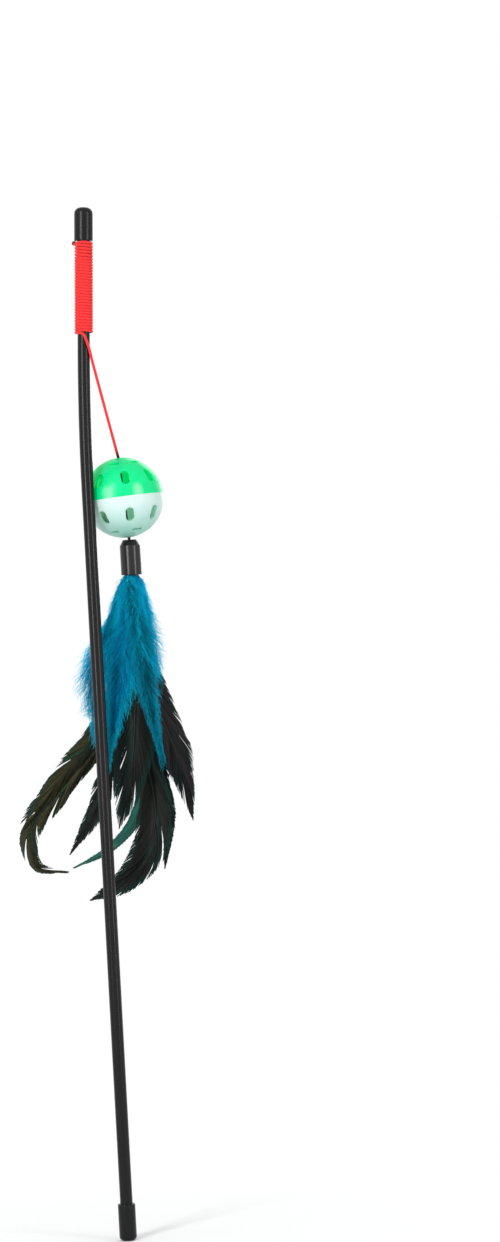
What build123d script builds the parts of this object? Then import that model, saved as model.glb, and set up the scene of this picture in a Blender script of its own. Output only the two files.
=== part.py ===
from build123d import *
import math
import os

# Cat teaser wand: a black plastic rod with soft end caps, a red cord wound round its tip, and on the
# cord a two-coloured rattle ball with a bell inside and a tassel of feathers glued into a sleeve.
# Millimetres, +Z up along the rod. The origin is on the rod's axis, where the grip cap's wall starts.

# Rod
rod_outer = 6.2
rod_bore = 4.2
rod_straight = 367.0
rod_bend_angle = 3.0
rod_bend_radius = 1400.0
rod_top_run = 65.3

# End caps, pushed over the rod
grip_cap_outer = 8.6
tip_cap_outer = 9.4
cap_clearance = 0.05
cap_end = 2.5
grip_cap_length = 18.0
grip_cap_rounding = 1.2
tip_cap_length = 16.5
tip_cap_rounding = 3.0

# Cord, wound round the rod below the tip cap
cord_diameter = 1.4
cord_seat = 0.1
cord_pitch = 2.0
cord_turns = 22
cord_cap_gap = 0.7
cord_start_angle = -148.0
cord_turn_down_radius = 3.0
cord_tail_drop = 8.5
cord_tail_slant = 22.0
cord_leave_angle = -30.0
cord_joint_gap = 0.3
cord_end_diameter = 2.2
cord_end_length = 1.6
cord_end_stub = 2.0

# Rattle ball, two halves held together by tongues
ball_outer = 40.0
ball_wall = 1.4
ball_rod_gap = 0.4
ball_azimuth = 44.0
ball_height = 365.7
ball_lean = 4.5
ball_cord_hole = 3.0
ball_slot_count = 8
ball_slot_length = 7.6
ball_slot_width = 4.2
ball_slot_latitude = 28.0
ball_slot_longitude = 8.5
ball_pole_slot_count = 6
ball_pole_slot_length = 5.0
ball_pole_slot_width = 2.0
ball_pole_slot_latitude = 57.0
ball_upper_pole_slot_longitude = -11.0
ball_lower_pole_slot_longitude = 26.0
tongue_width = 5.6
tongue_height = 6.2
tongue_root = 3.0
tongue_wall = 1.0
tongue_longitude = -21.0
tongue_clearance = 0.05

# Knots on the cord inside the ball and inside the sleeve
ball_knot_diameter = 4.2
ball_knot_gap = 0.3
sleeve_knot_gap = 0.34

# Jingle bell, loose inside the ball
bell_play = 3.2
bell_wall = 0.5
bell_rim = 0.5
bell_rim_height = 0.8
bell_clearance = 0.3
bell_cord_gap = 0.4
bell_slit_width = 1.2
bell_slit_margin = 2.0
pellet_diameter = 3.0
pellet_gap = 0.2

# Sleeve that holds the feathers
sleeve_outer = 10.4
sleeve_wall = 1.0
sleeve_length = 17.5
sleeve_top_diameter = 7.0
sleeve_shoulder = 3.0
sleeve_roof = 1.2
sleeve_hole = 4.8
sleeve_pivot_depth = 3.3
sleeve_ball_gap = 1.2
glue_recess = 1.0
glue_knot_gap = 0.45

# Feathers, layered from front to back
quill_diameter = 1.0
quill_depth = 9.0
quill_overlap = 1.5
shaft_width = 0.7
quill_row_step = 0.45
quill_column_step = 1.9
quill_columns = 3
feather_thickness = 0.4
feather_front_lean = -5.0
feather_lean_step = 1.5
feather_stations = 9

# Each feather: name, width of its vane, how far down its shaft the vane sits (1 is the middle of a leaf,
# more is nearer the tip), and the points that its shaft passes, as distance to the side of the sleeve's
# axis and distance below the sleeve's mouth
feathers = [
    ("blue_plume_1", 13.0, 0.6, [(2.5, 28), (5, 55), (10, 90)]),
    ("blue_plume_2", 19.0, 0.6, [(-4, 30), (-10, 60), (-17, 93)]),
    ("dark_feather_1", 20.0, 1.7, [(-0.5, 30), (-1.5, 62), (-5, 95), (-13, 126)]),
    ("blue_plume_3", 19.0, 0.6, [(-11, 24), (-19, 46), (-21, 78)]),
    ("dark_feather_2", 16.0, 1.5, [(1, 30), (8, 62), (18, 92), (24, 124)]),
    ("dark_feather_3", 15.0, 2.2, [(0.5, 40), (3, 95), (5, 122), (-1, 142), (-12, 153), (-30, 162)]),
    ("dark_feather_4", 11.0, 2.0, [(-5, 50), (-15, 92), (-25, 118), (-39, 139)]),
    ("blue_plume_4", 18.0, 0.6, [(3, 28), (5, 52), (8, 80)]),
    ("dark_feather_5", 9.0, 2.0, [(3, 50), (8, 100), (11, 128), (8, 150)]),
    ("dark_feather_6", 11.0, 1.7, [(-7, 45), (-22, 80), (-43, 103), (-64, 129)]),
    ("dark_feather_7", 9.0, 1.6, [(-8, 48), (-22, 85), (-42, 107), (-60, 132), (-57, 147), (-41, 151)]),
    ("dark_feather_8", 6.0, 2.2, [(1, 50), (0, 100), (-7, 128), (-20, 141), (-39, 150)]),
    ("blue_plume_5", 19.0, 0.6, [(-3, 26), (-6, 50), (-9, 76)]),
    ("dark_feather_9", 15.0, 1.5, [(4, 45), (11, 80), (16, 112)]),
]

os.makedirs("parts", exist_ok=True)


def write(piece, name):
    """Label a finished piece and write it to its own file."""
    piece.part.label = name
    export_step(piece.part, f"parts/{name}.step")


# Places along the rod
rod_foot = cap_end - grip_cap_rounding
bend_start = rod_foot + rod_straight
bend_turn = math.radians(rod_bend_angle)
bend_aside = rod_bend_radius * (1 - math.cos(bend_turn))
bend_top = bend_start + rod_bend_radius * math.sin(bend_turn)
tip_plane = Plane(
    origin=(bend_aside, 0, bend_top),
    x_dir=(math.cos(bend_turn), 0, -math.sin(bend_turn)),
    z_dir=(math.sin(bend_turn), 0, math.cos(bend_turn)),
)
tip_cap_top = rod_top_run + cap_end
tip_cap_mouth = tip_cap_top - tip_cap_length


def rod_section(plane):
    """The rod's ring-shaped section on a plane across it."""
    with BuildSketch(plane) as ring:
        Circle(rod_outer / 2)
        Circle(rod_bore / 2, mode=Mode.SUBTRACT)
    return ring.sketch


# Rod: one tube, kept as three lengths because it bows: a long straight run from the grip, the bow, and a
# straight top that leans with the bow
with BuildPart() as rod:
    extrude(rod_section(Plane.XY.offset(rod_foot)), amount=rod_straight)
write(rod, "rod")

with BuildPart() as rod_bow:
    with BuildLine() as bow_line:
        TangentArc((0, 0, bend_start), tip_plane.origin, tangent=(0, 0, 1))
    sweep(rod_section(Plane.XY.offset(bend_start)), path=bow_line.line)
write(rod_bow, "rod_bow")

with BuildPart() as rod_top:
    extrude(rod_section(tip_plane), amount=rod_top_run)
write(rod_top, "rod_top")

# Grip cap: a closed soft cap over the rod's lower end
with BuildPart() as grip_cap:
    with BuildSketch(Plane.XY.offset(-grip_cap_rounding)):
        Circle(grip_cap_outer / 2)
    extrude(amount=grip_cap_length)
    fillet(grip_cap.edges().group_by(Axis.Z)[0], grip_cap_rounding)
    with BuildSketch(Plane.XY.offset(rod_foot)):
        Circle(rod_outer / 2 + cap_clearance)
    extrude(amount=grip_cap_length, mode=Mode.SUBTRACT)
write(grip_cap, "grip_cap")

# Tip cap: a wider cap with a rounder end, over the rod's upper end
with BuildPart() as tip_cap:
    with BuildSketch(tip_plane.offset(tip_cap_mouth)):
        Circle(tip_cap_outer / 2)
    extrude(amount=tip_cap_length)
    fillet(tip_cap.edges().group_by(Axis.Z)[-1], tip_cap_rounding)
    with BuildSketch(tip_plane.offset(tip_cap_mouth)):
        Circle(rod_outer / 2 + cap_clearance)
    extrude(amount=tip_cap_length - cap_end, mode=Mode.SUBTRACT)
write(tip_cap, "tip_cap")

# Route of the wound cord: heights along the tip's axis, angles round the rod, heading below level
cord_radius = cord_diameter / 2
lay_radius = rod_outer / 2 + cord_seat + cord_radius
wound_heading = math.atan(cord_pitch / (2 * math.pi * lay_radius))
tail_heading = math.radians(90 - cord_tail_slant)
turn_down_sweep = cord_turn_down_radius * (math.sin(tail_heading) - math.sin(wound_heading)) / lay_radius
turn_down_drop = cord_turn_down_radius * (math.cos(wound_heading) - math.cos(tail_heading))
tail_sweep = cord_tail_drop / math.tan(tail_heading) / lay_radius
wound_from = math.radians(cord_start_angle)
wound_to = math.radians(cord_leave_angle) - tail_sweep - turn_down_sweep
wound_sweep = 2 * math.pi * cord_turns + wound_to - wound_from
wound_top = tip_cap_mouth - cord_cap_gap - cord_radius
wound_drop = cord_pitch * wound_sweep / (2 * math.pi)


def wound_point(angle, height):
    """The point of the cord's centre line at an angle round the rod and a height on the tip's axis."""
    return tip_plane.from_local_coords((lay_radius * math.cos(angle), lay_radius * math.sin(angle), height))


def wound_direction(angle, heading):
    """The cord's direction at an angle round the rod, heading below level."""
    level = math.cos(heading)
    local = (-level * math.sin(angle), level * math.cos(angle), -math.sin(heading))
    return tip_plane.from_local_coords(local) - tip_plane.origin


def biarc_joint(start, start_direction, end, end_direction):
    """The point where two equal-legged tangent arcs from start to end meet, and their direction there."""
    chord = end - start
    along = chord.dot(start_direction + end_direction)
    spread = 2 * (1 - start_direction.dot(end_direction))
    leg = (-along + math.sqrt(along**2 + spread * chord.dot(chord))) / spread
    first = start + start_direction * leg
    last = end - end_direction * leg
    return (first + last) * 0.5, (last - first).normalized()


# Stops along the wound cord: about every half turn, then the turn down and the tail beside the rod
stops = []
half_turns = 2 * cord_turns + 1
for half in range(half_turns + 1):
    share = half / half_turns
    stops.append((wound_from + share * wound_sweep, wound_top - share * wound_drop, wound_heading))
for share in (0.5, 1.0):
    heading = wound_heading + share * (tail_heading - wound_heading)
    swept = cord_turn_down_radius * (math.sin(heading) - math.sin(wound_heading)) / lay_radius
    dropped = cord_turn_down_radius * (math.cos(wound_heading) - math.cos(heading))
    stops.append((wound_to + swept, wound_top - wound_drop - dropped, heading))
tail_end_height = wound_top - wound_drop - turn_down_drop - cord_tail_drop
stops.append((math.radians(cord_leave_angle), tail_end_height, tail_heading))
stop_points = [wound_point(angle, height) for angle, height, heading in stops]
stop_directions = [wound_direction(angle, heading) for angle, height, heading in stops]
wound_start = stop_points[0] - stop_directions[0] * cord_end_stub
tail_end = stop_points[-1] + stop_directions[-1] * cord_diameter

# Wound cord: one unbroken tube, with a straight stub at each end
with BuildPart() as cord_winding:
    with BuildLine() as wound_line:
        Line(wound_start, stop_points[0])
        for stop in range(len(stops) - 1):
            here, onward = stop_points[stop], stop_points[stop + 1]
            joint, joint_direction = biarc_joint(
                here, stop_directions[stop], onward, stop_directions[stop + 1]
            )
            TangentArc(here, joint, tangent=stop_directions[stop])
            TangentArc(joint, onward, tangent=joint_direction)
        Line(stop_points[-1], tail_end)
    with BuildSketch(Plane(wound_start, z_dir=stop_directions[0])):
        Circle(cord_radius)
    sweep(path=wound_line.line)
write(cord_winding, "cord_winding")

# Melted end of the cord, a bead where the winding starts
with BuildPart() as cord_end:
    with BuildSketch(Plane(wound_start, z_dir=-stop_directions[0])):
        Circle(cord_end_diameter / 2)
    extrude(amount=cord_end_length)
    fillet(cord_end.edges(), cord_end_length / 3)
write(cord_end, "cord_end")

# Places of the ball and of the cord that carries it
ball_radius = ball_outer / 2
ball_bore = ball_radius - ball_wall
ball_standoff = rod_outer / 2 + ball_rod_gap + ball_radius
ball_centre = Vector(
    ball_standoff * math.cos(math.radians(ball_azimuth)),
    ball_standoff * math.sin(math.radians(ball_azimuth)),
    ball_height,
)
lean = math.radians(ball_lean)
ball_plane = Plane(
    ball_centre,
    x_dir=(math.cos(lean), 0, math.sin(lean)),
    z_dir=(-math.sin(lean), 0, math.cos(lean)),
)
ball_axis = Axis(ball_centre, ball_plane.z_dir)
cord_pivot = tail_end + stop_directions[-1] * (cord_radius + cord_joint_gap)
ball_pivot = ball_centre + ball_plane.z_dir * ball_radius
sleeve_pivot = ball_centre - ball_plane.z_dir * (ball_radius + sleeve_ball_gap + sleeve_pivot_depth)

# Free cord: pulled straight by the ball, with a round end at each pivot
lead_direction = (ball_pivot - cord_pivot).normalized()
lead_length = (ball_pivot - cord_pivot).length
with BuildPart() as cord_lead:
    with BuildSketch(Plane(cord_pivot, z_dir=lead_direction)):
        Circle(cord_radius)
    extrude(amount=lead_length)
    with Locations(cord_pivot, ball_pivot):
        Sphere(cord_radius)
write(cord_lead, "cord_lead")

# Cord through the ball, from below the upper pivot to the knot in the sleeve
through_start = ball_pivot - ball_plane.z_dir * (cord_radius + cord_joint_gap)
with BuildPart() as cord_through:
    with BuildSketch(Plane(through_start, z_dir=-ball_plane.z_dir)):
        Circle(cord_radius)
    extrude(amount=(through_start - sleeve_pivot).length)
write(cord_through, "cord_through")

# Knot that the ball hangs on, just inside its upper cord hole
ball_knot_place = ball_bore - ball_knot_gap - ball_knot_diameter / 2
with BuildPart() as ball_knot:
    with Locations(ball_centre + ball_plane.z_dir * ball_knot_place):
        Sphere(ball_knot_diameter / 2)
    with BuildSketch(ball_plane):
        Circle(cord_radius)
    extrude(amount=ball_radius, mode=Mode.SUBTRACT)
write(ball_knot, "ball_knot")

# Knot that the sleeve hangs on, under the sleeve's hole
sleeve_hole_edge = math.hypot(sleeve_hole / 2, sleeve_pivot_depth - sleeve_roof)
with BuildPart() as sleeve_knot:
    with Locations(sleeve_pivot):
        Sphere(sleeve_hole_edge - sleeve_knot_gap)
    with BuildSketch(Plane(sleeve_pivot, z_dir=ball_plane.z_dir)):
        Circle(cord_radius)
    extrude(amount=ball_radius, mode=Mode.SUBTRACT)
write(sleeve_knot, "sleeve_knot")


def ball_face(latitude, longitude):
    """A plane at the ball's centre that faces out at a latitude and longitude, with its Y to the pole."""
    north, east = math.radians(latitude), math.radians(longitude)
    outward = (math.cos(north) * math.sin(east), -math.cos(north) * math.cos(east), math.sin(north))
    sideways = (math.cos(east), math.sin(east), 0)
    return Plane(
        ball_centre,
        x_dir=ball_plane.from_local_coords(sideways) - ball_centre,
        z_dir=ball_plane.from_local_coords(outward) - ball_centre,
    )


def cut_ball_openings(side, pole_slot_longitude):
    """Cut the cord hole, the long slots and the slots near the pole of the half on one side of the seam."""
    with BuildSketch(ball_plane) as cord_hole:
        Circle(ball_cord_hole / 2)
    extrude(cord_hole.sketch, amount=side * ball_outer, mode=Mode.SUBTRACT)
    for slot in range(ball_slot_count):
        turn = ball_slot_longitude + 360 * slot / ball_slot_count
        with BuildSketch(ball_face(side * ball_slot_latitude, turn)) as long_slot:
            SlotOverall(ball_slot_length, ball_slot_width, rotation=90)
        extrude(long_slot.sketch, amount=ball_outer, mode=Mode.SUBTRACT)
    for slot in range(ball_pole_slot_count):
        turn = pole_slot_longitude + 360 * slot / ball_pole_slot_count
        with BuildSketch(ball_face(side * ball_pole_slot_latitude, turn)) as pole_slot:
            SlotOverall(ball_pole_slot_length, ball_pole_slot_width)
        extrude(pole_slot.sketch, amount=ball_outer, mode=Mode.SUBTRACT)


# Upper half of the ball
with BuildPart() as ball_upper:
    with Locations(ball_centre):
        Sphere(ball_radius)
        Sphere(ball_bore, mode=Mode.SUBTRACT)
    split(bisect_by=ball_plane, keep=Keep.TOP)
    cut_ball_openings(1, ball_upper_pole_slot_longitude)
write(ball_upper, "ball_upper")

# Tongues of the lower half: arched tabs that stand up inside the upper half, rooted in the lower wall
with BuildPart() as tongue_roots:
    with Locations(ball_centre):
        Sphere(ball_radius - ball_wall / 2)
    split(bisect_by=ball_plane, keep=Keep.BOTTOM)

with BuildPart() as tongue_arches:
    for tongue in range(ball_slot_count):
        with BuildSketch(ball_face(0, tongue_longitude + 360 * tongue / ball_slot_count)):
            with Locations((0, (tongue_height - tongue_root) / 2 - tongue_width / 4)):
                Rectangle(tongue_width, tongue_height + tongue_root - tongue_width / 2)
            with Locations((0, tongue_height - tongue_width / 2)):
                Circle(tongue_width / 2)
        extrude(amount=ball_outer)

tongue_outside = ball_bore - tongue_clearance
with BuildPart() as tongues:
    with Locations(ball_centre):
        Sphere(tongue_outside)
    add(tongue_roots.part)
    with Locations(ball_centre):
        Sphere(tongue_outside - tongue_wall, mode=Mode.SUBTRACT)
    add(tongue_arches.part, mode=Mode.INTERSECT)

# Lower half of the ball, with its tongues
with BuildPart() as ball_lower:
    with Locations(ball_centre):
        Sphere(ball_radius)
        Sphere(ball_bore, mode=Mode.SUBTRACT)
    split(bisect_by=ball_plane, keep=Keep.BOTTOM)
    cut_ball_openings(-1, ball_lower_pole_slot_longitude)
    add(tongues.part)
write(ball_lower, "ball_lower")

# Jingle bell: two pressed shells joined at a rim, lying low in the ball beside the cord. The bell's size
# follows from the room between the cord and the ball's wall
bell_room = ball_bore - bell_clearance - cord_radius - bell_cord_gap
bell_rim_radius = (bell_room - bell_play) / 2
bell_radius = bell_rim_radius - bell_rim
bell_bore = bell_radius - bell_wall
bell_slit_reach = bell_radius - bell_slit_margin
bell_aside = cord_radius + bell_cord_gap + bell_rim_radius
bell_low = math.sqrt((ball_bore - bell_clearance - bell_rim_radius) ** 2 - bell_aside**2)
bell_centre = ball_centre - ball_plane.x_dir * bell_aside - ball_plane.z_dir * bell_low
bell_plane = Plane(bell_centre, x_dir=ball_plane.x_dir, z_dir=ball_plane.z_dir)


def bell_shell(keep):
    """Half of the bell, with its share of the rim."""
    side = 1 if keep == Keep.TOP else -1
    with Locations(bell_centre):
        Sphere(bell_radius)
    split(bisect_by=bell_plane, keep=keep)
    with BuildSketch(bell_plane) as rim:
        Circle(bell_rim_radius)
    extrude(rim.sketch, amount=side * bell_rim_height / 2)
    with Locations(bell_centre):
        Sphere(bell_bore, mode=Mode.SUBTRACT)


with BuildPart() as bell_upper:
    bell_shell(Keep.TOP)
write(bell_upper, "bell_upper")

# The lower shell has a slit that ends in two round holes
with BuildPart() as bell_lower:
    bell_shell(Keep.BOTTOM)
    with BuildSketch(bell_plane):
        Rectangle(2 * bell_slit_reach, bell_slit_width)
        with Locations((-bell_slit_reach, 0), (bell_slit_reach, 0)):
            Circle(bell_slit_width)
    extrude(amount=-bell_rim_radius, mode=Mode.SUBTRACT)
write(bell_lower, "bell_lower")

# Steel pellet, lying on the floor of the bell
pellet_low = bell_bore - pellet_gap - pellet_diameter / 2
with BuildPart() as bell_pellet:
    with Locations(bell_centre - bell_plane.z_dir * pellet_low):
        Sphere(pellet_diameter / 2)
write(bell_pellet, "bell_pellet")

# Sleeve: an upturned cup with a cord hole in its roof and sloping shoulders
sleeve_top = sleeve_pivot.Z + sleeve_pivot_depth
sleeve_mouth = sleeve_top - sleeve_length
sleeve_axis = Axis(sleeve_pivot, (0, 0, 1))
sleeve_section = Plane(origin=(sleeve_pivot.X, sleeve_pivot.Y, 0), x_dir=(1, 0, 0), z_dir=(0, -1, 0))
sleeve_bore = sleeve_outer / 2 - sleeve_wall
with BuildPart() as feather_sleeve:
    with BuildSketch(sleeve_section):
        with BuildLine():
            Polyline(
                (sleeve_hole / 2, sleeve_top),
                (sleeve_top_diameter / 2, sleeve_top),
                (sleeve_outer / 2, sleeve_top - sleeve_shoulder),
                (sleeve_outer / 2, sleeve_mouth),
                (sleeve_bore, sleeve_mouth),
                (sleeve_bore, sleeve_top - sleeve_shoulder),
                (sleeve_top_diameter / 2, sleeve_top - sleeve_roof),
                (sleeve_hole / 2, sleeve_top - sleeve_roof),
                close=True,
            )
        make_face()
    revolve(axis=sleeve_axis)
write(feather_sleeve, "feather_sleeve")


# Feathers: flat curved blades on planes that spread from the sleeve's mouth, each with a quill in the glue
def quill_place(order):
    """Where the feather that is number order from the front leaves the sleeve's mouth: side and depth."""
    row = order - (len(feathers) - 1) / 2
    column = order % quill_columns - (quill_columns - 1) / 2
    return column * quill_column_step, row * quill_row_step


def vane_half_width(share, width, seat):
    """Half the blade's width at a share of its length: a quill that swells to the vane and ends in a tip."""
    return (shaft_width * (1 - share) + width * math.sin(math.pi * share**seat)) / 2


def quill(order, mode):
    """The upright quill of one feather, from inside the glue to just below the sleeve's mouth."""
    aside, behind = quill_place(order)
    foot = Plane((sleeve_pivot.X + aside, sleeve_pivot.Y + behind, sleeve_mouth - quill_overlap))
    with BuildSketch(foot) as shank:
        Circle(quill_diameter / 2)
    extrude(shank.sketch, amount=quill_overlap + quill_depth, mode=mode)


for order, (name, width, seat, shaft) in enumerate(feathers):
    aside, behind = quill_place(order)
    back_lean = math.radians(feather_front_lean + order * feather_lean_step)
    blade_plane = Plane(
        origin=(sleeve_pivot.X, sleeve_pivot.Y + behind, sleeve_mouth),
        x_dir=(1, 0, 0),
        z_dir=(0, math.cos(back_lean), math.sin(back_lean)),
    )
    with BuildPart() as feather:
        with BuildSketch(blade_plane):
            with BuildLine():
                spine = Spline((aside, 0), *shaft, mode=Mode.PRIVATE)
                sides = {1: [], -1: []}
                for station in range(feather_stations):
                    share = station / feather_stations
                    across = (spine % share).cross(Vector(0, 0, 1))
                    half_width = vane_half_width(share, width, seat)
                    for side in sides:
                        sides[side].append(spine @ share + across * side * half_width)
                right = Spline(*sides[1], spine @ 1)
                left = Spline(*sides[-1], spine @ 1)
                Line(right @ 0, left @ 0)
            make_face()
        extrude(amount=feather_thickness / 2, both=True)
        quill(order, Mode.ADD)
    write(feather, name)

# Hot-melt glue that fills the sleeve round the quills
glue_bottom = sleeve_mouth + glue_recess
glue_top = sleeve_pivot.Z - sleeve_hole_edge + sleeve_knot_gap - glue_knot_gap
with BuildPart() as glue_plug:
    with BuildSketch(Plane((sleeve_pivot.X, sleeve_pivot.Y, glue_bottom))):
        Circle(sleeve_bore)
    extrude(amount=glue_top - glue_bottom)
    for order in range(len(feathers)):
        quill(order, Mode.SUBTRACT)
write(glue_plug, "glue_plug")

# What the cord measures
wound_wire = wound_line.wires()[0]
trace_count = round(wound_wire.length / cord_radius)
trace = [wound_wire @ (step / trace_count) for step in range(trace_count + 1)]
turn_count = round(2 * math.pi * lay_radius / cord_radius)
self_gap = min(
    (trace[here] - trace[there]).length - cord_diameter
    for here in range(trace_count)
    for there in range(here + turn_count // 2, min(here + 2 * turn_count, trace_count))
)
tube_volume = math.pi * cord_radius**2 * wound_wire.length
print("wound cord: length", round(wound_wire.length, 1), "least gap to itself", round(self_gap, 2))
print("wound cord: volume over section times length", round(cord_winding.part.volume / tube_volume, 4))
print("cord radii: winding", round(lay_radius, 2), "turn down", cord_turn_down_radius)
print("free cord: length", round(lead_length, 1), "pivots", cord_pivot, ball_pivot, sleeve_pivot)
print("ball centre", ball_centre, "axis", ball_plane.z_dir, "bell centre", bell_centre)
print("sleeve mouth", round(sleeve_mouth, 2), "tip", tip_plane.from_local_coords((0, 0, tip_cap_top)))
print("bell travel", round(2 * bell_low, 2), "pellet travel", round(2 * pellet_low, 2))
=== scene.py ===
import math

import bpy
import numpy as np
from mathutils import Matrix, Vector


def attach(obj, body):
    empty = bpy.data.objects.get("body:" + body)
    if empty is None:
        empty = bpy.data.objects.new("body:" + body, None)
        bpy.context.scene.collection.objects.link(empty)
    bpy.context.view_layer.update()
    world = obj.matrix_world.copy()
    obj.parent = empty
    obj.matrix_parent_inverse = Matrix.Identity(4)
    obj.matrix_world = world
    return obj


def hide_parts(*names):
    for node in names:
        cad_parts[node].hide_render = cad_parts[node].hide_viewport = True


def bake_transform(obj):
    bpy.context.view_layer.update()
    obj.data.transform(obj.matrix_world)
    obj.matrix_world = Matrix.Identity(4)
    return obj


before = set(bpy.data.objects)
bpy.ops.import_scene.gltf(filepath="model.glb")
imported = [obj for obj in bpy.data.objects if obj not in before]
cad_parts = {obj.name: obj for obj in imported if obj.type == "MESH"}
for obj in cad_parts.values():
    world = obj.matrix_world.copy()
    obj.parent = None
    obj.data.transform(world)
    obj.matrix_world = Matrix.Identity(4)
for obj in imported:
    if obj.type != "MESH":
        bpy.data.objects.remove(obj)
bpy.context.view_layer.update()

# Camera and light
# The wand is seen straight from the front through a long lens, turned so that the rod leans as it does in
# the photo. Tall soft boxes stand at the left front, at the right and behind, over a pale floor in a white
# surrounding.
mm = 0.001
view_centre = Vector((76.5 * mm, 0, 300.9 * mm))
view_height = 613.5 * mm
view_roll = math.radians(3.1)
lens_mm = 100
sensor_mm = 36

scene = bpy.context.scene
camera = bpy.data.objects.new("camera", bpy.data.cameras.new("camera"))
camera.data.lens = lens_mm
camera.data.sensor_width = sensor_mm
view_right = Vector((math.cos(view_roll), 0, -math.sin(view_roll)))
view_up = Vector((math.sin(view_roll), 0, math.cos(view_roll)))
view_back = view_right.cross(view_up)
camera_place = view_centre + view_back * view_height * lens_mm / sensor_mm
camera_turn = Matrix((view_right, view_up, view_back)).transposed().to_4x4()
camera.matrix_world = Matrix.Translation(camera_place) @ camera_turn
scene.collection.objects.link(camera)
scene.camera = camera
scene.view_settings.view_transform = "Standard"


def add(tree, kind, inputs=None, **settings):
    """Add a node: settings are its own options, inputs its sockets, each a value or a socket to link."""
    made = tree.nodes.new(kind)
    for name, value in settings.items():
        setattr(made, name, value)
    for name, value in (inputs or {}).items():
        if isinstance(value, bpy.types.NodeSocket):
            tree.links.new(value, made.inputs[name])
        else:
            made.inputs[name].default_value = value
    return made


def softbox(name, place, width, height, power):
    """A tall rectangular lamp that faces the middle of the view."""
    lamp = bpy.data.lights.new(name, "AREA")
    lamp.shape = "RECTANGLE"
    lamp.size = width
    lamp.size_y = height
    lamp.energy = power
    holder = bpy.data.objects.new(name, lamp)
    aim = view_centre - Vector(place)
    holder.matrix_world = Matrix.Translation(place) @ aim.to_track_quat("-Z", "Y").to_matrix().to_4x4()
    scene.collection.objects.link(holder)


softbox("key lamp", place=(-0.75, -1.2, 0.75), width=0.35, height=1.3, power=15)
softbox("side lamp", place=(1.1, -0.9, 0.4), width=0.2, height=1.2, power=7)
softbox("back lamp", place=(0.5, 1.3, 0.8), width=0.8, height=1.0, power=9)


def shown(tree):
    """One for rays from the camera, from a gloss or through a clear piece, and nothing for other rays."""
    rays = add(tree, "ShaderNodeLightPath").outputs
    direct = {0: rays["Is Camera Ray"], 1: rays["Is Glossy Ray"]}
    seen = add(tree, "ShaderNodeMath", direct, operation="MAXIMUM").outputs[0]
    through = {0: seen, 1: rays["Is Transmission Ray"]}
    return add(tree, "ShaderNodeMath", through, operation="MAXIMUM").outputs[0]


room_light = (0.66, 0.68, 0.7, 1)
seen_white = (1, 1, 1, 1)
world = bpy.data.worlds.new("white surrounding")
world.use_nodes = True
tree = world.node_tree
tree.nodes.clear()
surrounding = add(tree, "ShaderNodeMix", {0: shown(tree), 6: room_light, 7: seen_white}, data_type="RGBA")
backdrop = add(tree, "ShaderNodeBackground", {"Color": surrounding.outputs[2]})
add(tree, "ShaderNodeOutputWorld", {"Surface": backdrop.outputs[0]})
scene.world = world


def linear(code):
    """A colour written as sRGB hex, as linear red, green, blue and alpha."""
    part = np.array([int(code[i : i + 2], 16) for i in (1, 3, 5)]) / 255
    return (*np.where(part <= 0.04045, part / 12.92, ((part + 0.055) / 1.055) ** 2.4), 1)


def material(name):
    """A new material with an empty node tree."""
    made = bpy.data.materials.new(name)
    made.use_nodes = True
    made.node_tree.nodes.clear()
    return made, made.node_tree


def mesh_piece(name, points, faces, skin, uv=None):
    """A piece from points and faces, with its material and, where given, a UV pair per corner."""
    mesh = bpy.data.meshes.new(name)
    mesh.from_pydata(points.tolist(), [], faces)
    mesh.polygons.foreach_set("use_smooth", np.ones(len(mesh.polygons), bool))
    if uv is not None:
        mesh.uv_layers.new(name="lay").data.foreach_set("uv", uv.astype(np.float32).ravel())
    mesh.materials.append(skin)
    made = bpy.data.objects.new(name, mesh)
    scene.collection.objects.link(made)
    return made


# Pale matt floor: it keeps the wand's shadow round the foot and fades to the white of the surrounding
floor_height = -1.25 * mm
floor_reach = 1.5
fade_start = 30 * mm
fade_end = 160 * mm
floor_paint, tree = material("pale matt floor")
place = add(tree, "ShaderNodeTexCoord").outputs["Object"]
foot_distance = add(tree, "ShaderNodeVectorMath", {0: place}, operation="LENGTH").outputs["Value"]
fade_range = {"Value": foot_distance, "From Min": fade_start, "From Max": fade_end}
fade = add(tree, "ShaderNodeMapRange", fade_range)
white_share = add(tree, "ShaderNodeMath", {0: fade.outputs[0], 1: shown(tree)}, operation="MULTIPLY")
paint = add(tree, "ShaderNodeBsdfDiffuse", {"Color": linear("#F2F2F0")})
white = add(tree, "ShaderNodeEmission")
paint_to_white = {0: white_share.outputs[0], 1: paint.outputs[0], 2: white.outputs[0]}
floor_skin = add(tree, "ShaderNodeMixShader", paint_to_white)
add(tree, "ShaderNodeOutputMaterial", {"Surface": floor_skin.outputs[0]})
floor_corners = np.array([[-1, -1, 0], [1, -1, 0], [1, 1, 0], [-1, 1, 0]]) * floor_reach
floor_corners[:, 2] = floor_height
mesh_piece("floor", floor_corners, [[0, 1, 2, 3]], floor_paint)

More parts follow.
